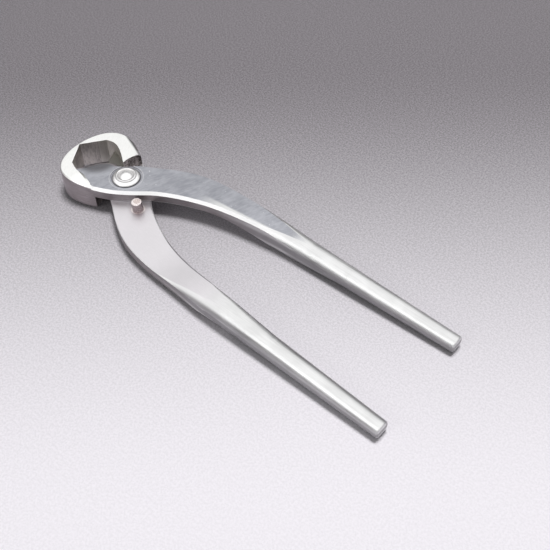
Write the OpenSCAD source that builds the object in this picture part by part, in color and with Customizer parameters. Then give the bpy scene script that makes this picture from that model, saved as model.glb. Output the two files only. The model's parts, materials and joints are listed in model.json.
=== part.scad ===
// Root cutter: two forged levers riveted together, with end-cutting jaws that close edge to edge.
// Millimetres. The mating plane of the levers is level, the jaws point along -X and the handles along +X.
// The upper lever's handle lies at +Y and its jaw at -Y; the lower lever is the same forging turned over.

/* [Overall] */
// Length over all, from the front of the jaws to the ends of the handles
overall_len = 205; // [195:1:220]
// Distance from the pivot to the front of the jaws
head_reach = 34.4; // [33:0.1:36]
// How far the upper lever is swung open, in degrees
open_angle = 0; // [0:1:34]

/* [Levers] */
// Thickness of each lever's plate at the joint
plate_t = 5.8; // [5:0.1:7]
// Running clearance between the two plates
plate_gap = 0.1; // [0.04:0.01:0.2]
// Chamfer along the edges of each plate's outer face
edge_chamfer = 1.3; // [0.8:0.1:1.6]
// Edge break along the mating face
edge_break = 0.25; // [0.1:0.05:0.5]
// Rounding of the mating face's inner edge, behind the stop pin
inner_round = 1; // [0.3:0.1:1.4]
// Width of the worn rounding at the throat
throat_round = 3; // [1:0.1:4]

/* [Handles] */
// Rod radius where the handle's taper begins
rod_r = 5.25; // [4.8:0.05:5.6]
// Rod radius at the end of the handle
rod_end_r = 3.85; // [3.4:0.05:4.4]
// Distance from the middle of the tool to a handle's axis, level with the pivot
rod_offset = 23.85; // [22:0.05:26]
// How far each handle leans outwards, in degrees
rod_splay = 0.78; // [0:0.01:2]
// Rounding at the end of the handle
rod_end_round = 0.9; // [0.4:0.1:2]

/* [Jaws] */
// Height of a jaw to each side of the mating plane
jaw_half_h = 7; // [6:0.1:8]
// Thickness left at the cutting edge
edge_land = 0.6; // [0.3:0.1:1]
// Clearance between the closed cutting edges
edge_gap = 0.08; // [0.02:0.01:0.2]
// Widest rounding on the back of the lower lever's jaw, beside its shoulder
jaw_back_round = 2.6; // [1:0.1:3]

/* [Joint] */
// Radius of the rivet's shank
rivet_r = 3.2; // [2.8:0.1:3.6]
// Radial clearance of the rivet in the levers
rivet_play = 0.06; // [0.03:0.01:0.12]
// Radius of a washer
washer_r = 6.7; // [6:0.1:7.2]
// Height of a washer above its seat
washer_h = 2; // [1.6:0.1:2.4]
// Radius of the spot face that a washer seats in
spot_r = 7.9; // [7.3:0.1:8.2]
// Depth of the spot face
spot_depth = 0.25; // [0.1:0.05:0.4]
// Clearance under a washer, so that the levers turn freely
seat_gap = 0.02; // [0.01:0.01:0.05]
// How far the rivet's domed end stands out of its washer
dome_rise = 0.7; // [0.3:0.05:1]

/* [Stop pin] */
// Radius of the stop pin
pin_r = 2.55; // [2:0.05:2.8]
// Distance of the stop pin behind the pivot
pin_x = 15.2; // [14.8:0.1:16]
// Distance of the stop pin to the side of the pivot
pin_y = 7.3; // [7.2:0.1:8]
// Height of the stop pin above the mating plane
pin_top = 5.15; // [4:0.05:6]
// How deep the stop pin sits in the lower lever
pin_seat = 4.4; // [3:0.1:5]
// How far the stop pin leans away from the upper lever, in degrees
pin_lean = 5; // [0:0.5:6]

/* [Hidden] */

steel = [0.72, 0.73, 0.76];
bright_steel = [0.84, 0.84, 0.86];
fine = 96;

// Where the handle starts to leave the plate's shape, where it is fully round, and where it starts to taper
blend_start = 44;
blend_end = 118;
taper_start = 101;
// How far the turned rod's first edge lies inside the neck that covers it
lap_inset = 0.02;
// Between which X the outer face and the mating face leave the plate's levels for the rod's
face_falls = [60, 96];
mate_falls = [blend_start, 94];
// Between which X each corner of the section turns round: the outer face's two, then the mating face's two
face_far_turn = [57, 98];
face_near_turn = [66, 101];
mate_far_turn = [48, 99];
mate_near_turn = [88, blend_end];
// Where the mating face's inner edge starts to be rounded, and where that ends
inner_round_from = [2, 9];
inner_round_to = [36, 56];
// Front of the plate, inside the jaw, and where the throat's worn rounding grows and fades behind it
plate_front = -24.5;
throat_from = [plate_front, -21];
throat_to = [-11, -7.5];
throat_depth = 1.4;
// Width of the chamfer along the far edge, which is ground a little narrower than the near one
far_chamfer = edge_chamfer * 0.8;
// Most of a half section that the far edge's rounding may take, where the plate ends inside the jaw
widest_cut = 1.1;
mate_z = plate_gap / 2;
handle_end = overall_len - head_reach;

// Plan of the upper lever, as the Y of its two edges at each X.
// The near edge runs from the jaw's back, past the stop pin and along the inside of the handle.
near_edge = [
    [plate_front, -14.6], [-20, -16.4], [-14, -16.3], [-10, -15.9], [-7, -15.9], [-4.3, -14.8],
    [-0.6, -13], [3.7, -10.4], [9.4, -6.1], [12.9, -3.1], [16.5, 0], [20.5, 2.8], [24.7, 5.2],
    [29, 7.4], [34, 9.6], [40, 11.9], [46, 13.7], [53, 15.4], [61, 16.9], [70, 18.2],
    [80, rod_y(80) - rod_at(80)], [blend_end, rod_y(blend_end) - rod_at(blend_end)]
];
// The far edge rounds the throat, passes the pivot and runs along the outside of the handle.
far_edge = [
    [plate_front, -13], [-22.6, -9.7], [-20.6, -5.6], [-18.4, -1.5], [-16.2, 1.1], [-13.7, 2.9],
    [-11, 3.7], [-8.6, 4.1], [-6.8, 5.1], [-5, 7], [-3, 9.2], [-1, 10.9], [1.3, 12.2],
    [4, 13.9], [8, 16.5], [12.7, 19.5], [20.5, 23.5], [27, 25.9], [33, 27.3], [41, 28.4],
    [48, 28.9], [56, 29.2], [66, 29.7],
    [80, rod_y(80) + rod_at(80)], [blend_end, rod_y(blend_end) + rod_at(blend_end)]
];

// Plan of a jaw: its back, from the cutting edge round to the pivot, and its inside beside it.
jaw_back = [
    [-head_reach, -edge_gap / 2], [-34.2, -4], [-33.1, -9], [-30.7, -14.2], [-26.6, -18],
    [-21, -19.5], [-15, -18.9], [-9.5, -17], [-5, -14.6], [-2, -12.4]
];
jaw_inside = [
    [edge_land - head_reach, -edge_gap / 2], [-31.3, -3.8], [-28.9, -7.4], [-26.4, -11],
    [-23.4, -12], [-20, -11.9], [-16.5, -10.6], [-12.3, -8.3], [-8, -5.4], [-4.5, -3.4]
];
bevel_stations = 3;
jaw_stations = len(jaw_back) - 1;
// Share of the jaw's width, at each station, that lies inside the crest of its raised band
crest_share = [[0, 0.12], [3, 0.12], [4, 0.1], [5, 0.14], [6, 0.36], [7, 0.72], [9, 0.93]];
// Between which stations the bevel ends, the band sinks, and its top and back get their roundings
bevel_end = [3.4, 4.6];
band_falls = [5.2, 8.4];
top_rounds = [1, 6.5];
back_rounds = [4.8, 7.6];
// Width of the band's sloping wall, least share of the wall, how far the band sinks, and edge breaks
band_wall = 1.9;
thin_share = 0.03;
band_sunk = 0.6;
jaw_break = 0.3;
inside_break = 0.1;

// Hollow end of a jaw, milled to free the other lever's plate, and which stops the opening
shoulder = [[-7.9, -5.5], [-8.1, -7.6], [-7.9, -9.8], [-7.3, -12.1], [-6.4, -14.6], [-5.8, -17]];

// Rod radius and the Y of its axis at a given X
function rod_at(x) = rod_r + (rod_end_r - rod_r) * (x - taper_start) / (handle_end - taper_start);
function rod_y(x) = rod_offset + x * tan(rod_splay);

function mix(a, b, t) = a + (b - a) * t;
function ease(a, b, x) = let (t = max(0, min(1, (x - a) / (b - a)))) t * t * (3 - 2 * t);

// Smooth curve through a table of [x, y] points, read at one x
function slope(tab, i) = let (a = max(i - 1, 0), b = min(i + 1, len(tab) - 1))
    (tab[b][1] - tab[a][1]) / (tab[b][0] - tab[a][0]);
function span_of(tab, x, i = 0) = (i >= len(tab) - 2 || x < tab[i + 1][0]) ? i : span_of(tab, x, i + 1);
function read(tab, x) = let (
        i = span_of(tab, x),
        w = tab[i + 1][0] - tab[i][0],
        t = (x - tab[i][0]) / w
    )
    tab[i][1] * (1 + 2 * t) * (1 - t) * (1 - t) + slope(tab, i) * w * t * (1 - t) * (1 - t)
    + tab[i + 1][1] * t * t * (3 - 2 * t) - slope(tab, i + 1) * w * t * t * (1 - t);
function lean(tab, x) = (read(tab, x + 0.05) - read(tab, x - 0.05)) / 0.1;

// Smooth path through points, at station u; the part before the corner is straight
function path(pts, u, corner = 0) = let (
        i = min(floor(u), len(pts) - 2),
        t = u - i,
        p0 = pts[i == corner ? i : max(i - 1, 0)],
        p1 = pts[i],
        p2 = pts[i + 1],
        p3 = pts[min(i + 2, len(pts) - 1)]
    )
    i < corner ? mix(p1, p2, t)
    : 0.5 * (2 * p1 + (p2 - p0) * t + (2 * p0 - 5 * p1 + 4 * p2 - p3) * t * t
        + (3 * p1 - 3 * p2 + p3 - p0) * t * t * t);

// One corner of a section, from a straight chamfer (shape 0) to a quarter ellipse (shape 1)
corner_steps = 6;
function corner(at, ry, rz, from, shape) = [
    for (k = [0 : corner_steps])
        let (
            a = from + 90 * k / corner_steps,
            arc = [cos(a), sin(a)],
            line = mix([cos(from), sin(from)], [cos(from + 90), sin(from + 90)], k / corner_steps),
            p = mix(line, arc, shape)
        )
        [at[0] + ry * p[0], at[1] + rz * p[1]]
];

// Rounding of the mating face's inner edge, and share of the throat's rounding, at a given X
function turn(range, x) = ease(range[0], range[1], x);
function inner_round_at(x) = turn(inner_round_from, x) * (1 - turn(inner_round_to, x));
function throat_at(x) = turn(throat_from, x) * (1 - turn(throat_to, x));

// Section of a lever across X: a chamfered plate that becomes a round rod
function section(x) = let (
        r = rod_at(x),
        y0 = read(near_edge, x),
        y1 = read(far_edge, x),
        z1 = mix(plate_t, r, turn(face_falls, x)),
        z0 = mix(mate_z, -r, turn(mate_falls, x)),
        half_y = (y1 - y0) / 2,
        half_z = (z1 - z0) / 2,
        near_skew = sqrt(1 + pow(lean(near_edge, x), 2)),
        far_skew = sqrt(1 + pow(lean(far_edge, x), 2)),
        throat = throat_at(x),
        far_cut = min(mix(far_chamfer, throat_round, throat) * far_skew, half_y * widest_cut),
        far_y = mix(far_cut, half_y, turn(face_far_turn, x)),
        far_z = mix(mix(edge_chamfer, throat_depth, throat), half_z, turn(face_far_turn, x)),
        near_y = mix(edge_chamfer * near_skew, half_y, turn(face_near_turn, x)),
        near_z = mix(edge_chamfer, half_z, turn(face_near_turn, x)),
        inner = mix(edge_break, inner_round, inner_round_at(x)),
        low_near_y = mix(inner * near_skew, half_y, turn(mate_near_turn, x)),
        low_near_z = mix(inner, half_z, turn(mate_near_turn, x)),
        low_far_y = mix(edge_break * far_skew, half_y, turn(mate_far_turn, x)),
        low_far_z = mix(edge_break, half_z, turn(mate_far_turn, x))
    )
    concat(
        corner([y1 - far_y, z1 - far_z], far_y, far_z, 0, max(throat, turn(face_far_turn, x))),
        corner([y0 + near_y, z1 - near_z], near_y, near_z, 90, turn(face_near_turn, x)),
        corner([y0 + low_near_y, z0 + low_near_z], low_near_y, low_near_z, 180,
            max(inner_round_at(x), turn(mate_near_turn, x))),
        corner([y1 - low_far_y, z0 + low_far_z], low_far_y, low_far_z, 270, turn(mate_far_turn, x))
    );

// Closed skin over a row of sections that have the same number of points
module skin(rows) {
    n = len(rows[0]);
    m = len(rows);
    faces = concat(
        [[for (j = [0 : n - 1]) j]],
        [[for (j = [n - 1 : -1 : 0]) (m - 1) * n + j]],
        [for (i = [0 : m - 2], j = [0 : n - 1]) [i * n + j, (i + 1) * n + j, i * n + (j + 1) % n]],
        [for (i = [0 : m - 2], j = [0 : n - 1])
            [(i + 1) * n + j, (i + 1) * n + (j + 1) % n, i * n + (j + 1) % n]]
    );
    polyhedron(points = [for (row = rows, p = row) p], faces = faces, convexity = 8);
}

// Plate and handle in one piece, from the root of the jaw to where the rod is round
module plate_and_neck() {
    stations = concat(
        [for (x = [plate_front : 1.25 : 20]) x],
        [for (x = [22 : 2.5 : 59.5]) x],
        [for (x = [62 : 3 : blend_end]) x]
    );
    skin([for (x = stations) [for (p = section(x)) [x, p[0], p[1]]]]);
}

module rod() {
    lap = 2;
    start = blend_end - lap;
    run = (handle_end - start) / cos(rod_splay);
    translate([start, rod_y(start), 0])
        rotate([0, 90, rod_splay])
            rotate_extrude($fn = fine)
                polygon(concat(
                    [[0, 0], [rod_at(start) - lap_inset, 0]],
                    [for (a = [0 : 15 : 90])
                        [rod_end_r - rod_end_round * (1 - cos(a)), run - rod_end_round * (1 - sin(a))]],
                    [[0, run]]
                ));
}

// Jaw of the upper lever: a band that thins to its cutting edge, with a ground bevel inside.
// Behind the bevel its raised band narrows and sinks into the plate's chamfer.
module jaw(back_round) {
    rows = [for (u = [0 : 0.25 : jaw_stations])
        let (
            back = path(jaw_back, u),
            inside = path(jaw_inside, u, bevel_stations),
            wide = norm(back - inside),
            out = (back - inside) / wide,
            behind = turn(bevel_end, u),
            crest = wide * read(crest_share, u),
            foot = mix(crest / 2, max(crest - band_wall, wide * thin_share), behind),
            top = mix(jaw_half_h, plate_t - band_sunk, turn(band_falls, u)),
            web = mix(top - inside_break, min(top - inside_break, plate_t - jaw_break), behind),
            top_cut = min(mix(jaw_break, edge_chamfer + jaw_break, turn(top_rounds, u)), wide * 0.4),
            low_cut = min(mix(jaw_break, back_round, turn(back_rounds, u)), wide * 0.4)
        )
        concat(
            [place_at(inside, web), place_at(inside + out * foot, web)],
            [place_at(inside + out * crest, top)],
            [for (a = [0 : 30 : 90])
                place_at(back - out * top_cut * (1 - sin(a)), top - top_cut * (1 - cos(a)))],
            [for (a = [0 : 30 : 90])
                place_at(back - out * low_cut * (1 - cos(a)), low_cut * (1 - sin(a)) - jaw_half_h)],
            [place_at(inside, -jaw_half_h)]
        )
    ];
    difference() {
        skin(rows);
        shoulder_cut();
    }
}

function place_at(p, z) = [p[0], p[1], z];

// Space for the other lever's plate, below the mating plane and behind the jaw's shoulder
module shoulder_cut() {
    depth = jaw_half_h + 2;
    last = len(shoulder) - 1;
    side_clear = 7;
    translate([0, 0, mate_z - depth])
        linear_extrude(depth)
            polygon(concat(
                [[side_clear, 2], [shoulder[0][0], 2]],
                [for (u = [0 : 0.25 : last]) path(shoulder, u, -1)],
                [shoulder[last] - [0, side_clear], [side_clear, shoulder[last][1] - side_clear]]
            ));
}

// The forging that both levers are made from, as it lies in the upper lever
module forging(back_round) {
    difference() {
        union() {
            plate_and_neck();
            rod();
            jaw(back_round);
        }
        translate([0, 0, -1])
            cylinder(r = rivet_r + rivet_play, h = plate_t + 2, $fn = fine);
        translate([0, 0, plate_t - spot_depth])
            cylinder(r = spot_r, h = 3, $fn = fine);
    }
}

module upper_lever() {
    color(steel)
        in_frame()
            rotate([0, 0, open_angle])
                forging(edge_land);
}

module lower_lever() {
    color(steel)
        in_frame()
            difference() {
                rotate([180, 0, 0])
                    forging(jaw_back_round);
                at_pin()
                    translate([0, 0, -pin_seat])
                        cylinder(r = pin_r, h = plate_t, $fn = fine);
            }
}

module at_pin() {
    translate([pin_x, -pin_y, 0])
        rotate([0, pin_lean, -95])
            children();
}

// Stepped washer: a low cone, a raised ring and a countersink round the rivet's end
module washer() {
    seat = plate_t - spot_depth + seat_gap;
    rotate_extrude($fn = fine)
        polygon([
            [rivet_r, seat],
            [washer_r - 0.15, seat],
            [washer_r, seat + 0.15],
            [washer_r, seat + 0.4],
            [washer_r - 0.25, seat + 0.72],
            [washer_r - 0.75, seat + 1.08],
            [washer_r - 1.35, seat + 1.38],
            [washer_r - 1.8, seat + 1.55],
            [washer_r - 1.95, seat + washer_h - 0.15],
            [washer_r - 2.15, seat + washer_h],
            [washer_r - 2.4, seat + washer_h],
            [washer_r - 2.6, seat + washer_h - 0.15],
            [washer_r - 2.75, seat + 1.5],
            [rivet_r, seat + 1.3]
        ]);
}

module upper_washer() {
    color(bright_steel)
        in_frame()
            washer();
}

module lower_washer() {
    color(bright_steel)
        in_frame()
            mirror([0, 0, 1])
                washer();
}

// Shank through both plates and washers, with each end hammered to a low dome
module pivot_rivet() {
    rim = plate_t - spot_depth + washer_h - 0.55;
    crown = plate_t - spot_depth + washer_h + dome_rise;
    rise = crown - rim;
    ball = (rivet_r * rivet_r + rise * rise) / (2 * rise);
    half = asin(rivet_r / ball);
    dome = [for (k = [0 : 8]) let (a = half * (1 - k / 8)) [ball * sin(a), crown - ball + ball * cos(a)]];
    color(bright_steel)
        in_frame()
            rotate_extrude($fn = fine)
                polygon(concat(
                    [for (p = dome) [p[0], -p[1]]],
                    [for (k = [8 : -1 : 0]) dome[k]]
                ));
}

module stop_pin() {
    soft = 0.42;
    color(bright_steel)
        in_frame()
            at_pin()
                rotate_extrude($fn = fine)
                    polygon([
                        [0, -pin_seat],
                        [pin_r - 0.3, -pin_seat],
                        [pin_r, 0.3 - pin_seat],
                        [pin_r, pin_top - soft],
                        [pin_r - soft * 0.3, pin_top - soft * 0.3],
                        [pin_r - soft, pin_top],
                        [0, pin_top + 0.1]
                    ]);
}

// Moves the joint's frame so that the tool stands on its lowest point, centred on its outline
module in_frame() {
    lowest = plate_t - spot_depth + washer_h + dome_rise;
    translate([head_reach - overall_len / 2, 0, lowest])
        children();
}

lower_lever();
upper_lever();
pivot_rivet();
lower_washer();
upper_washer();
stop_pin();
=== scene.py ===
# Root cutter, lying closed on a pale floor. Lengths are in metres, or in millimetres where a name
# ends in Mm. Places on the tool count from the pivot: x toward the handles' ends, y toward the
# far handle, z up.
import bpy
import json
import math
from mathutils import Matrix, Vector


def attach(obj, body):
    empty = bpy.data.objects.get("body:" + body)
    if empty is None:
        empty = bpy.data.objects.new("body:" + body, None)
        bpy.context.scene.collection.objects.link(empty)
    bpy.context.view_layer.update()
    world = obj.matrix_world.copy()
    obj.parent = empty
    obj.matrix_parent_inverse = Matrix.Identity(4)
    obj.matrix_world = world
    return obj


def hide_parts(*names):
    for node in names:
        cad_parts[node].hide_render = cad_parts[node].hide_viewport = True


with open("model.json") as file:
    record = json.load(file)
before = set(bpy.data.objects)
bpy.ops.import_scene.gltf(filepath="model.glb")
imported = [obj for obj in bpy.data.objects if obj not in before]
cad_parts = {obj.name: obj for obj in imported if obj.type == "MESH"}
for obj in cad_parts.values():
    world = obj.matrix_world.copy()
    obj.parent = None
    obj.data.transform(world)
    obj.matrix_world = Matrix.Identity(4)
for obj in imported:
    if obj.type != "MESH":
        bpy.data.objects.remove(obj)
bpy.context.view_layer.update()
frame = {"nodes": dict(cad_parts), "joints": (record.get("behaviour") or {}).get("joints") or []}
mm = 0.001
pivot = Vector(frame["joints"][0]["pos_m"])
print("frame loaded, pivot at", [round(v / mm, 2) for v in pivot])


# Camera, at the photograph's angle, swung by a last small angle about the pivot's foot
camera = {
    "placeMm": (166.16, -163.66, 274.05),
    "tiltDeg": 39.9,
    "rollDeg": -0.68,
    "turnDeg": 41.3,
    "swingDeg": -0.35,
    "lensMm": 51.63,
    "sensorMm": 36,
    "nearestM": 0.01,
}


def makeCamera(c):
    swing = Matrix.Rotation(math.radians(c["swingDeg"]), 3, "Z")
    hub = Vector((pivot.x, pivot.y, 0))
    place = hub + swing @ (Vector(c["placeMm"]) * mm - hub)
    turns = (c["tiltDeg"], c["rollDeg"], c["turnDeg"] + c["swingDeg"])
    bpy.ops.object.camera_add(location=place, rotation=[math.radians(v) for v in turns])
    cam = bpy.context.object
    cam.data.lens = c["lensMm"]
    cam.data.sensor_width = c["sensorMm"]
    cam.data.clip_start = c["nearestM"]
    bpy.context.scene.camera = cam


makeCamera(camera)
print("camera set")


# Shader maths: a wire is a node's output socket, and sums of wires add their Math nodes
class Wire:
    def __init__(self, tree, socket):
        self.tree = tree
        self.socket = socket

    def math(self, operation, *others):
        return self.tree.add("ShaderNodeMath", {"operation": operation}, [self, *others])

    def __add__(self, other):
        return self.math("ADD", other)

    def __radd__(self, other):
        return self.math("ADD", other)

    def __sub__(self, other):
        return self.math("SUBTRACT", other)

    def __rsub__(self, other):
        return self.tree.add("ShaderNodeMath", {"operation": "SUBTRACT"}, [other, self])

    def __mul__(self, other):
        return self.math("MULTIPLY", other)

    def __rmul__(self, other):
        return self.math("MULTIPLY", other)

    def __truediv__(self, other):
        return self.math("DIVIDE", other)

    def __pow__(self, other):
        return self.math("POWER", other)

    def clamp(self):
        return self.tree.add("ShaderNodeClamp", {}, [self, 0.0, 1.0])

    def ramp(self, low, high):
        settings = {"interpolation_type": "SMOOTHSTEP"}
        return self.tree.add("ShaderNodeMapRange", settings, [self, low, high, 0.0, 1.0])

    def toward(self, other, share):
        return self + (other - self) * share


class Tree:
    def __init__(self, holder, shader):
        holder.use_nodes = True
        self.nodes = holder.node_tree.nodes
        self.links = holder.node_tree.links
        self.shader = self.nodes[shader]

    def plug(self, value, socket):
        if isinstance(value, Wire):
            self.links.new(value.socket, socket)
        else:
            socket.default_value = value

    def add(self, kind, settings, values, output=0):
        node = self.nodes.new(kind)
        for key, value in settings.items():
            setattr(node, key, value)
        pairs = values.items() if isinstance(values, dict) else enumerate(values)
        for key, value in pairs:
            self.plug(value, node.inputs[key])
        return Wire(self, node.outputs[output])

    def place(self, kind="Object"):
        return self.add("ShaderNodeTexCoord", {}, [], kind)

    def axes(self, vector):
        split = self.add("ShaderNodeSeparateXYZ", {}, [vector])
        return [Wire(self, output) for output in split.socket.node.outputs]

    def join(self, x, y, z):
        return self.add("ShaderNodeCombineXYZ", {}, [x, y, z])

    def stretch(self, vector, scale, turn=0.0):
        values = {"Vector": vector, "Scale": scale, "Rotation": (0, 0, turn)}
        return self.add("ShaderNodeMapping", {}, values)

    def noise(self, vector, scale, detail=3.0, rough=0.55):
        values = {"Vector": vector, "Scale": scale, "Detail": detail, "Roughness": rough}
        return self.add("ShaderNodeTexNoise", {}, values)

    # A Mix node's two colours are its sockets 6 and 7, and its mixed colour is output 2
    def mix(self, way, factor, *colours):
        first, second = [c if isinstance(c, Wire) else (*c, 1) for c in colours]
        settings = {"data_type": "RGBA", "blend_type": way}
        return self.add("ShaderNodeMix", settings, {"Factor": factor, 6: first, 7: second}, 2)

    def blend(self, factor, dark, light):
        return self.mix("MIX", factor, dark, light)

    def tint(self, colour, factor, by):
        return self.mix("MULTIPLY", factor, colour, by)

    def bump(self, height, strength, distance):
        values = {"Height": height, "Strength": strength, "Distance": distance}
        return self.add("ShaderNodeBump", {}, values)

    def finish(self, **sockets):
        for key, value in sockets.items():
            self.plug(value, self.shader.inputs[key.replace("_", " ")])


def newMaterial(name):
    material = bpy.data.materials.new(name)
    return material, Tree(material, "Principled BSDF")


# Steel finishes: what forging, grinding and handling left on each kind of surface, with painted
# shade in the side and shoulder tones. Brush is how often the marks repeat per metre, and spread
# how softly their tones run together. Fade is where along the neck the rod's finish takes over, and
# the shade start is where the rod's painted side shade begins.
finishes = {
    "plateFace": {
        "dark": (0.285, 0.29, 0.32), "light": (0.44, 0.445, 0.48), "rough": 0.42,
        "brush": (900, 220, 900), "turnDeg": 20, "spread": 0.17, "depth": 1.2, "nicks": 0.6,
        "rodShadeMm": (88, 102),
    },
    "matingFace": {
        "dark": (0.66, 0.64, 0.66), "light": (0.73, 0.705, 0.73), "rough": 0.45,
        "brush": (300, 2600, 900), "turnDeg": 8, "spread": 0.2, "depth": 1.0, "nicks": 0.2,
        "fadeMm": (70, 92), "rodShadeMm": (86, 102),
    },
    "edge": {
        "dark": (0.70, 0.695, 0.695), "light": (0.79, 0.785, 0.79), "rough": 0.42,
        "brush": (150, 2500, 2500), "turnDeg": 0, "spread": 0.2, "depth": 0.8, "nicks": 0.0,
        "fadeMm": (72, 96), "rodShadeMm": (86, 102),
    },
    # The sides' dark tone is partly their own forged colour and partly painted shade
    "side": {
        "dark": (0.20, 0.175, 0.18), "light": (0.32, 0.295, 0.305), "rough": 0.45,
        "brush": (200, 200, 2400), "turnDeg": 0, "spread": 0.2, "depth": 1.5, "nicks": 0.1,
        "fadeMm": (28, 92), "rodShadeMm": (0, 1),
    },
    "jawTop": {
        "dark": (0.80, 0.80, 0.785), "light": (0.92, 0.92, 0.905), "rough": 0.40,
        "brush": (400, 2200, 900), "turnDeg": 60, "spread": 0.2, "depth": 0.8, "nicks": 0.0,
    },
    "cavity": {
        "dark": (0.70, 0.67, 0.62), "light": (0.88, 0.86, 0.81), "rough": 0.45,
        "brush": (1500, 1500, 250), "turnDeg": 30, "spread": 0.2, "depth": 2.0, "nicks": 0.0,
    },
    "bevel": {
        "dark": (0.42, 0.395, 0.375), "light": (0.90, 0.86, 0.83), "rough": 0.42,
        "brush": (1300, 1300, 420), "turnDeg": 35, "spread": 0.2, "depth": 4.0, "nicks": 0.0,
    },
    # The shoulder's end face is painted near black, painted shade for the recess it faces into
    "shoulder": {
        "dark": (0.10, 0.09, 0.085), "light": (0.50, 0.46, 0.45), "rough": 0.42,
        "brush": (900, 900, 900), "turnDeg": 0, "spread": 0.1, "depth": 2.0, "nicks": 0.0,
    },
}
rodFinish = {
    "dark": (0.62, 0.62, 0.62), "light": (0.75, 0.75, 0.75), "rough": 0.38,
    "brush": (60, 1500, 1500), "turnDeg": 0, "spread": 0.15, "depth": 1.0, "nicks": 0.1,
}

# How the marks of wear are made up, the same on every finish
wear = {
    "noiseMiddle": 0.5,
    "brushDetail": 4.0,
    "brushRough": 0.6,
    "cloudsPerM": 90.0,
    "nicksPerM": (500, 1100, 700),
    "nickTurn": 0.6,
    "nickDetail": 2.0,
    "nickAt": (0.68, 0.76),
    "nickShare": 0.6,
    "nick": (0.95, 0.95, 0.96),
    "roughByBrush": 0.25,
    "roughByClouds": 0.15,
    "bump": 0.1,
    "bumpM": 0.0002,
}


def coat(t, here, f):
    middle = wear["noiseMiddle"]
    turned = t.stretch(here, (1, 1, 1), math.radians(f["turnDeg"]))
    brushed = t.noise(t.stretch(turned, f["brush"]), 1.0, wear["brushDetail"], wear["brushRough"])
    clouds = t.noise(here, wear["cloudsPerM"])
    nicked = t.stretch(turned, wear["nicksPerM"], wear["nickTurn"])
    nick = t.noise(nicked, 1.0, wear["nickDetail"]).ramp(*wear["nickAt"])
    nick = nick * f["nicks"] * wear["nickShare"]
    tone = (brushed * 0.5 + clouds * 0.5).ramp(middle - f["spread"], middle + f["spread"])
    colour = t.blend(nick, t.blend(tone, f["dark"], f["light"]), wear["nick"])
    byBrush = (brushed - middle) * wear["roughByBrush"]
    byClouds = (clouds - middle) * wear["roughByClouds"]
    return colour, byBrush + byClouds + f["rough"], (brushed - nick) * f["depth"]


# Place in mm from the pivot
def fromHub(t, here):
    return [(v - h) / mm for v, h in zip(t.axes(here), pivot)]


# The rods are polished along their tops. Their sides are painted darker as painted shade, darker
# still where they turn under toward the bench, and the inner corner of the face that meets the
# other lever is painted darker as well, also painted shade.
rodShape = {
    "radiusMm": 5.25,
    "endRadiusMm": 3.85,
    "taperMm": (101, 170.6),
    "offsetMm": 23.85,
    "splay": 0.0136,
}
rodShade = {
    "sideAt": (0.16, 0.56),
    "side": (0.44, 0.43, 0.44),
    "underAt": (-0.70, -0.50),
    "under": (0.40, 0.40, 0.41),
    "cornerMm": (80, 118),
    "cornerStartMm": (80, 90),
    "cornerFlat": 0.45,
    "cornerAt": (-0.06, 0.12),
    "cornerFacing": (-0.1, 0.2),
    "corner": (0.58, 0.57, 0.58),
}


def paintRodShade(t, x, y, z, colour, fromMm):
    start, end = rodShape["taperMm"]
    taper = (x - start).math("MAXIMUM", 0.0) / (end - start)
    radius = rodShape["radiusMm"] - taper * (rodShape["radiusMm"] - rodShape["endRadiusMm"])
    axis = x * rodShape["splay"] + rodShape["offsetMm"]
    begun = x.ramp(*fromMm)
    # painted shade on the rod's sides, under it, and at its inner corner
    sideShade = (1 - (z.math("ABSOLUTE") / radius).ramp(*rodShade["sideAt"])) * begun
    under = (1 - (z / radius).ramp(*rodShade["underAt"])) * begun
    inside = ((axis - y.math("ABSOLUTE")) / radius).math("MAXIMUM", 0.0)
    facing = (z * y.math("SIGN") / radius * -1).ramp(*rodShade["cornerFacing"])
    first, last = rodShade["cornerMm"]
    flatShare = 1 - ((x - first) / (last - first)).clamp() * (1 - rodShade["cornerFlat"])
    cornerShade = (inside - flatShare).ramp(*rodShade["cornerAt"]) * facing
    cornerShade = cornerShade * x.ramp(*rodShade["cornerStartMm"])
    colour = t.tint(t.tint(colour, sideShade, rodShade["side"]), under, rodShade["under"])
    return t.tint(colour, cornerShade * (1 - sideShade), rodShade["corner"])


# The plate's own finish runs out in a wedge along the far side of the rod. The bright rod finish
# on the flat face inside the wedge is partly a painted highlight, for the round edge the face
# lacks.
wedge = {
    "fromMm": 46.5,
    "acrossMm": 17.65,
    "slope": 0.116,
    "softMm": (-0.5, 0.9),
    "startMm": (34, 48),
    "endMm": (80, 93),
}


def rodShareOnPlate(x, y, z):
    edgeAt = (x - wedge["fromMm"]) * wedge["slope"] + wedge["acrossMm"]
    share = (edgeAt - y * z.math("SIGN")).ramp(*wedge["softMm"]) * x.ramp(*wedge["startMm"])
    return share.math("MAXIMUM", x.ramp(*wedge["endMm"]))


# A soft ring, whose edge fades over these shares of half its width
ringEdge = (0.4, 1.0)


def ringMask(distance, radius, half):
    return 1 - ((distance - radius).math("ABSOLUTE") / half).ramp(*ringEdge)


mouth = {"centreMm": -20.0, "halfMm": (14.0, 14.6), "rootMm": (-8.8, -8.2)}


# Less than 1 inside the jaws' mouth, of wires or of plain numbers
def mouthRing(x, y):
    halfX, halfY = mouth["halfMm"]
    return ((x - mouth["centreMm"]) / halfX) ** 2 + (y / halfY) ** 2


# A dark line of painted shade along the mating face's inner edge, whose distance from the middle is
# a polynomial of x
innerEdgeShade = {
    "edge": (-0.236, 0.529, -1.939, 3.455, 18.202),
    "centreMm": 70,
    "unitMm": 30,
    "wideMm": (0.35, 0.85),
    "alongMm": ((34, 44), (98, 108)),
    "tint": (0.36, 0.35, 0.36),
}


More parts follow.
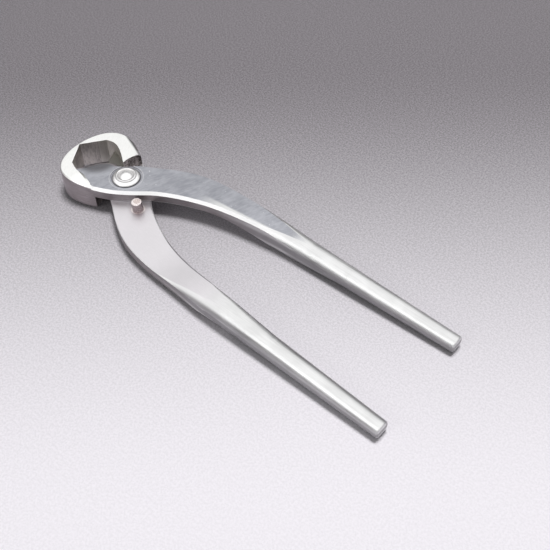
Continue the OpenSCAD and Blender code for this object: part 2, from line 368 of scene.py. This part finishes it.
def shadeInnerEdge(t, x, y, colour, share):
    along = (x - innerEdgeShade["centreMm"]) / innerEdgeShade["unitMm"]
    edgeAt, *others = innerEdgeShade["edge"]
    for factor in others:
        edgeAt = along * edgeAt + factor
    near = 1 - (y.math("ABSOLUTE") - edgeAt).ramp(*innerEdgeShade["wideMm"])
    first, last = innerEdgeShade["alongMm"]
    along = x.ramp(*first) * (1 - x.ramp(*last))
    return t.tint(colour, near * along * share, innerEdgeShade["tint"])


# Outside a line along the neck and the rod, the face that meets the other lever is painted darker,
# painted shade for the side that the real, sharper corner turns away from the light
outerSideShade = {
    "beyondMm": (28.6, 29.8),
    "alongMm": (42, 52),
    "facingMm": (-1.2, 0.2),
    "riseMm": (60, 95, 2.5),
    "tint": (0.62, 0.61, 0.62),
}


def shadeOuterSide(t, x, y, z, colour):
    first, last, riseMm = outerSideShade["riseMm"]
    rise = ((x - first) / (last - first)).clamp() * riseMm
    facing = (z * y.math("SIGN") * -1 - rise).ramp(*outerSideShade["facingMm"])
    beyond = y.math("ABSOLUTE").ramp(*outerSideShade["beyondMm"]) * x.ramp(*outerSideShade["alongMm"])
    return t.tint(colour, beyond * facing, outerSideShade["tint"])


# The plate's face is darker in the throat, has painted shade at the washer's foot and a painted
# highlight on the rim round the washer's seat, and grows lighter toward the neck
throat = {"ring": (0.22, 0.72), "tint": (0.38, 0.37, 0.365)}
seat = {
    "footMm": (6.9, 7.3),
    "foot": (0.45, 0.44, 0.44),
    "rimMm": (8.1, 0.35),
    "rimShare": 0.3,
    "rim": (0.80, 0.80, 0.81),
}
plateLight = {"alongMm": (45, 70), "lift": (1.10, 1.10, 1.10)}


def markPlateFace(t, x, y, z, colour):
    dark = 1 - mouthRing(x, y * z.math("SIGN")).ramp(*throat["ring"])
    fromPivot = (x ** 2 + y ** 2) ** 0.5
    foot = 1 - fromPivot.ramp(*seat["footMm"])
    colour = t.tint(t.tint(colour, dark, throat["tint"]), foot, seat["foot"])
    colour = t.tint(colour, x.ramp(*plateLight["alongMm"]), plateLight["lift"])
    return t.blend(ringMask(fromPivot, *seat["rimMm"]) * seat["rimShare"], colour, seat["rim"])


# The mating face is darker inside the mouth. It has a bright ring round the stop pin's foot, is
# darker close round it, and is lighter at the neck.
scale = {"ring": (0.97, 1.03), "tint": (0.15, 0.145, 0.135)}
pinFoot = {
    "placeMm": (15.2, -7.3),
    "ringMm": (3.0, 0.45),
    "ringShare": 0.8,
    "ring": (0.93, 0.87, 0.85),
    "darkerMm": (3.2, 5.4),
    "darker": (0.88, 0.85, 0.85),
}
neckLight = {"alongMm": (56, 80), "lift": (1.11, 1.11, 1.11)}


def fromPinAxis(x, y):
    pinX, pinY = pinFoot["placeMm"]
    return ((x - pinX) ** 2 + (y - pinY) ** 2) ** 0.5


def markMatingFace(t, x, y, z, colour):
    inside = (1 - mouthRing(x, y).ramp(*scale["ring"])) * (1 - x.ramp(*mouth["rootMm"]))
    fromPin = fromPinAxis(x, y)
    ring = ringMask(fromPin, *pinFoot["ringMm"]) * pinFoot["ringShare"]
    colour = t.tint(colour, 1 - fromPin.ramp(*pinFoot["darkerMm"]), pinFoot["darker"])
    colour = t.blend(ring, colour, pinFoot["ring"])
    colour = t.tint(colour, x.ramp(*neckLight["alongMm"]), neckLight["lift"])
    return shadeInnerEdge(t, x, y, t.blend(inside, colour, scale["tint"]), 1.0)


# The jaws' backs are ground lighter than the levers' sides, which are painted lighter toward the
# rods as painted light
jawLight = {"alongMm": (-14, 4), "acrossMm": (8, 11), "lift": (1.75, 1.75, 1.75)}
sidePaintedLight = {"alongMm": (5, 40), "lift": (1.28, 1.28, 1.28)}


def markSide(t, x, y, z, colour):
    lighter = (1 - x.ramp(*jawLight["alongMm"])) * y.math("ABSOLUTE").ramp(*jawLight["acrossMm"])
    colour = t.tint(colour, lighter, jawLight["lift"])
    return t.tint(colour, x.ramp(*sidePaintedLight["alongMm"]), sidePaintedLight["lift"])


# The break round the mating faces is painted brighter near the mating plane, a painted highlight,
# and between the handles carries the painted shade line along the inner edge. The upper lever's top
# edge is less bright along the handle, and the break lowest down is painted dark, painted shade
# where it faces the bench.
edgeHighlight = {"upMm": (0.6, 1.6), "lift": (1.16, 1.16, 1.16)}
topEdge = {"alongMm": (20, 34), "upMm": (4, 5), "tint": (0.92, 0.92, 0.92)}
benchShade = {"upMm": (-4.5, -1.5), "tint": (0.42, 0.40, 0.40)}


def markEdge(t, x, y, z, colour):
    atMating = 1 - z.math("ABSOLUTE").ramp(*edgeHighlight["upMm"])
    colour = t.tint(colour, atMating, edgeHighlight["lift"])
    colour = shadeInnerEdge(t, x, y, colour, atMating)
    atTop = x.ramp(*topEdge["alongMm"]) * z.ramp(*topEdge["upMm"])
    colour = t.tint(colour, atTop, topEdge["tint"])
    return t.tint(colour, 1 - z.ramp(*benchShade["upMm"]), benchShade["tint"])


# The short jaw's top turns down into its back, where it is painted dark as painted shade
jawBackShade = {"toward": (0.321, 0.947), "atMm": (10.8, 12.1), "tint": (0.16, 0.16, 0.165)}


def shadeJawBack(t, x, y, z, colour):
    towardX, towardY = jawBackShade["toward"]
    toBack = (x * towardX + y * towardY).ramp(*jawBackShade["atMm"])
    return t.tint(colour, toBack, jawBackShade["tint"])


marks = {
    "plateFace": markPlateFace,
    "matingFace": markMatingFace,
    "side": markSide,
    "edge": markEdge,
    "jawTop": shadeJawBack,
}


def steel(name, f):
    material, t = newMaterial(name + "Steel")
    here = t.place()
    x, y, z = fromHub(t, here)
    colour, rough, height = coat(t, here, f)
    if name in marks:
        colour = marks[name](t, x, y, z, colour)
    if "rodShadeMm" in f:
        share = x.ramp(*f["fadeMm"]) if "fadeMm" in f else rodShareOnPlate(x, y, z)
        rodColour, rodRough, rodHeight = coat(t, here, rodFinish)
        colour = t.blend(share, colour, paintRodShade(t, x, y, z, rodColour, f["rodShadeMm"]))
        rough, height = rough.toward(rodRough, share), height.toward(rodHeight, share)
    if name in ("matingFace", "edge"):
        colour = shadeOuterSide(t, x, y, z, colour)
    t.finish(
        Base_Color=colour,
        Metallic=1.0,
        Roughness=rough.clamp(),
        Normal=t.bump(height, wear["bump"], wear["bumpM"]),
    )
    return material


steels = {name: steel(name, f) for name, f in finishes.items()}
print("steel finishes mixed:", len(steels))


# Rivet and washers: turned steel, with painted shade in the groove round the rivet's end and at
# the ring's foot. Each shade ring has its radius, half its width and its share.
joint = {
    "dark": (0.74, 0.73, 0.73),
    "light": (0.95, 0.94, 0.94),
    "toneAt": (0.3, 0.7),
    "rough": 0.31,
    "roughByRings": 0.2,
    "ringsPerMm": 4,
    "ringDetail": 2.0,
    "cloudsPerM": 400.0,
    "grimeMm": ((3.55, 0.5, 0.65), (5.0, 0.26, 0.5), (6.6, 0.2, 0.4)),
    "grime": (0.30, 0.29, 0.29),
    "bump": 0.08,
    "bumpM": 0.0001,
}


def makeJointSteel(j):
    material, t = newMaterial("jointSteel")
    here = t.place()
    x, y, z = fromHub(t, here)
    fromPivot = (x ** 2 + y ** 2) ** 0.5
    turned = t.join(fromPivot * j["ringsPerMm"], z * j["ringsPerMm"], 0.0)
    rings = t.noise(turned, 1.0, j["ringDetail"])
    clouds = t.noise(here, j["cloudsPerM"])
    colour = t.blend((rings * 0.5 + clouds * 0.5).ramp(*j["toneAt"]), j["dark"], j["light"])
    for radius, half, share in j["grimeMm"]:
        colour = t.tint(colour, ringMask(fromPivot, radius, half) * share, j["grime"])
    t.finish(
        Base_Color=colour,
        Metallic=1.0,
        Roughness=((rings - wear["noiseMiddle"]) * j["roughByRings"] + j["rough"]).clamp(),
        Normal=t.bump(rings, j["bump"], j["bumpM"]),
    )
    return material


jointSteel = makeJointSteel(joint)


# Stop pin: a bright sheared end with a grained middle, and a brown side
pin = {
    "side": {"dark": (0.235, 0.19, 0.195), "light": (0.425, 0.365, 0.37)},
    "end": {"dark": (0.63, 0.565, 0.555), "light": (0.92, 0.86, 0.85)},
    "endAtMm": (4.65, 5.0),
    "middleMm": (1.3, 2.0),
    "middle": (0.80, 0.75, 0.73),
    "grainPerM": 1500.0,
    "grainDetail": 2.0,
    "grainRough": 0.6,
    "toneAt": (0.35, 0.65),
    "rough": 0.42,
    "roughByGrain": 0.3,
    "bump": 0.25,
    "bumpM": 0.0002,
}


def makePinSteel(p):
    material, t = newMaterial("pinSteel")
    here = t.place()
    x, y, z = fromHub(t, here)
    grain = t.noise(here, p["grainPerM"], p["grainDetail"], p["grainRough"])
    tone = grain.ramp(*p["toneAt"])
    side = t.blend(tone, p["side"]["dark"], p["side"]["light"])
    end = t.blend(tone, p["end"]["dark"], p["end"]["light"])
    end = t.tint(end, 1 - fromPinAxis(x, y).ramp(*p["middleMm"]), p["middle"])
    t.finish(
        Base_Color=t.blend(z.ramp(*p["endAtMm"]), side, end),
        Metallic=1.0,
        Roughness=(grain - wear["noiseMiddle"]) * p["roughByGrain"] + p["rough"],
        Normal=t.bump(grain, p["bump"], p["bumpM"]),
    )
    return material


pinSteel = makePinSteel(pin)


# Levers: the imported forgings, cleaned and smoothed, with a finish for each surface. A face is
# told by its place and by how far its normal leans, where 1 is straight up.
lever = {
    "plateMm": 5.8,
    "jawRootMm": -8.3,
    "bevelEndMm": -28.4,
    "mouthSideMm": (-23, -9),
    "shoulderMm": (-10, 0),
    "shoulderLean": 0.5,
    "overPlateMm": 0.1,
    "underTopMm": 0.3,
    "flatLean": 0.985,
    "matingLean": 0.93,
    "jawMatingLean": 0.9,
    "topLean": 0.4,
    "chamferLean": 0.3,
    "backLean": 0.2,
    "jawMatingMm": 0.2,
    "jawEdgeMm": 3,
    "matingMm": 0.5,
    "chamferMm": 1.2,
    "weldM": 2e-6,
    "flatDeg": 0.4,
    "creaseDeg": 24,
}


def inMouth(place):
    return mouthRing(place.x, place.y) < 1 and place.x < lever["jawRootMm"]


# Place and normal are in the upper lever's own sense, in mm from the pivot
def jawFinishOf(place, normal):
    onPlate = place.z < lever["plateMm"] + lever["overPlateMm"]
    if onPlate and normal.z > lever["flatLean"]:
        return "plateFace"
    if onPlate and normal.z > lever["chamferLean"] and inMouth(place):
        return "side"
    if -lever["matingLean"] < normal.z < -lever["backLean"] and place.z < 0 and not inMouth(place):
        return "side"
    if abs(normal.z) > lever["topLean"] and abs(place.z) > lever["plateMm"] - lever["underTopMm"]:
        return "jawTop"
    if inMouth(place):
        sideX, sideY = lever["mouthSideMm"]
        if place.z > 0 and place.y > sideY and place.x > sideX:
            return "side"
        return "bevel" if place.x < lever["bevelEndMm"] else "cavity"
    if normal.z < -lever["jawMatingLean"] and abs(place.z) < lever["jawMatingMm"]:
        return "matingFace"
    onEdge = normal.z > lever["chamferLean"] and place.z > lever["jawEdgeMm"]
    return "edge" if onEdge else "side"


def finishOf(place, normal):
    first, last = lever["shoulderMm"]
    if normal.x > lever["shoulderLean"] and place.z < 0 and first < place.x < last:
        return "shoulder"
    if place.x < lever["jawRootMm"]:
        return jawFinishOf(place, normal)
    if normal.z > lever["flatLean"]:
        return "plateFace"
    if normal.z < -lever["matingLean"] and place.z < lever["matingMm"]:
        return "matingFace"
    lowChamfer = normal.z < -lever["chamferLean"] and place.z < lever["chamferMm"]
    return "edge" if normal.z > lever["chamferLean"] or lowChamfer else "side"


# The inner corner of the mating face opens into the rod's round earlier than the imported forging's
# does, so each row of points across the neck is moved to the wider round
neck = {
    "rowsMm": (76, 115),
    "openMm": (70, 113),
    "packedMm": (88, 118),
    "breakMm": 0.25,
    "reachMm": 0.03,
}


def openInnerCorner(mesh, side):
    rows = {}
    first, last = neck["rowsMm"]
    for vertex in mesh.vertices:
        place = (vertex.co - pivot) / mm
        if first < place.x < last:
            row = rows.setdefault(round(place.x, 1), [])
            row.append((vertex, place.y * side, place.z * side))
    for x, row in rows.items():
        lowY, lowZ = min(p[1] for p in row), min(p[2] for p in row)
        halfY, halfZ = (max(p[1] for p in row) - lowY) / 2, (max(p[2] for p in row) - lowZ) / 2
        start, end = neck["packedMm"]
        share = min(max((x - start) / (end - start), 0), 1)
        turned = share * share * (3 - 2 * share)
        oldY = neck["breakMm"] + (halfY - neck["breakMm"]) * turned
        oldZ = neck["breakMm"] + (halfZ - neck["breakMm"]) * turned
        start, end = neck["openMm"]
        share = (x - start) / (end - start)
        newY, newZ = max(oldY, halfY * share), max(oldZ, halfZ * share)
        for vertex, y, z in row:
            outY, outZ = lowY + oldY - y, lowZ + oldZ - z
            if min(outY, outZ) > -neck["reachMm"]:
                angle = math.atan2(max(outZ, 0) / oldZ, max(outY, 0) / oldY)
                y = lowY + newY * (1 - math.cos(angle))
                z = lowZ + newZ * (1 - math.sin(angle))
                vertex.co.y, vertex.co.z = pivot.y + y * side * mm, pivot.z + z * side * mm


def dressLever(nodeName, pieceName, body, side):
    bpy.ops.object.select_all(action="DESELECT")
    node = frame["nodes"][nodeName]
    piece = node.copy()
    piece.data = node.data.copy()
    piece.name = pieceName
    piece.parent = None
    for key in list(piece.keys()):
        del piece[key]
    bpy.context.scene.collection.objects.link(piece)
    bpy.context.view_layer.objects.active = piece
    piece.select_set(True)
    bpy.ops.mesh.customdata_custom_splitnormals_clear()
    bpy.ops.object.mode_set(mode="EDIT")
    bpy.ops.mesh.select_all(action="SELECT")
    bpy.ops.mesh.remove_doubles(threshold=lever["weldM"])
    bpy.ops.object.mode_set(mode="OBJECT")
    openInnerCorner(piece.data, side)
    bpy.ops.object.mode_set(mode="EDIT")
    bpy.ops.mesh.select_all(action="SELECT")
    bpy.ops.mesh.dissolve_limited(angle_limit=math.radians(lever["flatDeg"]))
    bpy.ops.object.mode_set(mode="OBJECT")
    piece.data.materials.clear()
    names = list(steels)
    for name in names:
        piece.data.materials.append(steels[name])
    for face in piece.data.polygons:
        c = (face.center - pivot) / mm
        n = face.normal
        place = Vector((c.x, c.y * side, c.z * side))
        normal = Vector((n.x, n.y * side, n.z * side))
        face.material_index = names.index(finishOf(place, normal))
    bpy.ops.object.shade_smooth_by_angle(angle=math.radians(lever["creaseDeg"]))
    bpy.ops.object.modifier_add(type="WEIGHTED_NORMAL")
    piece.modifiers[-1].keep_sharp = True
    bpy.ops.object.modifier_apply(modifier=piece.modifiers[-1].name)
    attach(piece, body)
    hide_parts(nodeName)
    print(pieceName, "faces", len(piece.data.polygons))


# The lower lever is the upper one turned over, so its y and z are turned for the sorting
dressLever("upper_lever", "upperLeverForging", "upper_half", 1)
dressLever("lower_lever", "lowerLeverForging", "lower_half", -1)


def paint(nodeName, material):
    node = frame["nodes"][nodeName]
    for slot in node.material_slots:
        slot.material = material


for nodeName in ("pivot_rivet", "upper_washer", "lower_washer"):
    paint(nodeName, jointSteel)
paint("stop_pin", pinSteel)
print("joint and pin painted")


# Floor: the tool leans on its lower rivet end and on both handles' ends, so the floor that meets
# them has a slight slope. It is painted pale near the camera and darker away from it, painted light
# and sheen, with a fine grain.
floor = {
    "halfM": 3.0,
    "domeXMm": -68.1,
    "handleEndXMm": 102.3,
    "handleEndZMm": 4.35,
    "clearM": 0.00005,
    "shadeFrom": (-0.65, 0.76),
    "shadeM": (0.16, -0.13),
    "dark": (0.28, 0.26, 0.28),
    "pale": (0.93, 0.90, 0.95),
    "grainPerM": 1100.0,
    "grainDetail": 4.0,
    "grainRough": 0.9,
    "grainAt": (0.42, 0.58),
    "grainFade": 0.8,
    "grain": (0.5, 0.5, 0.5),
    "rough": 0.75,
}


def makeFloor(f):
    rise = f["handleEndZMm"] / (f["handleEndXMm"] - f["domeXMm"])
    bpy.ops.object.select_all(action="DESELECT")
    bpy.ops.mesh.primitive_grid_add(x_subdivisions=2, y_subdivisions=2, size=f["halfM"] * 2,
                                    location=(f["domeXMm"] * mm, 0, -f["clearM"]),
                                    rotation=(0, -math.atan(rise), 0))
    piece = bpy.context.object
    piece.name = "floor"
    material, t = newMaterial("floorStone")
    here = t.place()
    x, y, z = t.axes(here)
    towardX, towardY = f["shadeFrom"]
    away = (x + f["domeXMm"] * mm) * towardX + y * towardY
    pale = away.ramp(*f["shadeM"])
    grain = t.noise(here, f["grainPerM"], f["grainDetail"], f["grainRough"]).ramp(*f["grainAt"])
    colour = t.tint(t.blend(pale, f["dark"], f["pale"]),
                    grain * (1 - pale * f["grainFade"]), f["grain"])
    t.finish(Base_Color=colour, Roughness=f["rough"])
    piece.data.materials.append(material)


makeFloor(floor)
print("floor laid")


# Light: a soft panel overhead that lights the floor and isn't mirrored in the steel, and a weaker
# one from the near left that is
lights = {
    "overhead": {
        "towardDeg": (90, 82), "farM": 1.2, "sizeM": 0.36, "watts": 11.8, "inSteel": False,
    },
    "nearLeft": {
        "towardDeg": (259, 34), "farM": 1.2, "sizeM": 0.5, "watts": 1.0, "inSteel": True,
    },
}


def makeLight(name, light):
    azimuth, elevation = [math.radians(v) for v in light["towardDeg"]]
    toward = Vector((math.cos(elevation) * math.cos(azimuth),
                     math.cos(elevation) * math.sin(azimuth),
                     math.sin(elevation)))
    bpy.ops.object.light_add(type="AREA", location=toward * light["farM"])
    lamp = bpy.context.object
    lamp.name = name + "Panel"
    lamp.data.shape = "DISK"
    lamp.data.size = light["sizeM"]
    lamp.data.energy = light["watts"]
    lamp.visible_glossy = light["inSteel"]
    lamp.rotation_euler = (-toward).to_track_quat("-Z", "Y").to_euler()


for name, light in lights.items():
    makeLight(name, light)


# Room: a dome that the steel mirrors, dim at the horizon and bright overhead, and a little brighter
# on the near side. It gives only a soft share of itself to matt surfaces, and the camera sees an
# even pale backdrop in its place.
room = {
    "horizon": 0.22,
    "zenith": 1.36,
    "riseZ": (0.0, 0.74),
    "nearSide": (0.66, -0.75),
    "lean": 0.06,
    "softShare": 0.162,
    "backdrop": 0.7,
}


def makeRoom(r):
    world = bpy.data.worlds.new("studio")
    t = Tree(world, "Background")
    x, y, z = t.axes(t.place("Generated"))
    nearX, nearY = r["nearSide"]
    toward = (x * nearX + y * nearY) * r["lean"]
    dome = (z + toward).ramp(*r["riseZ"]) * (r["zenith"] - r["horizon"]) + r["horizon"]
    glossy = t.add("ShaderNodeLightPath", {}, [], "Is Glossy Ray")
    seen = t.add("ShaderNodeLightPath", {}, [], "Is Camera Ray")
    strength = dome * (glossy * (1 - r["softShare"]) + r["softShare"])
    t.finish(Color=(1, 1, 1, 1), Strength=strength.toward(r["backdrop"], seen))
    bpy.context.scene.world = world


makeRoom(room)
bpy.context.scene.view_settings.view_transform = "Standard"
print("lights set")
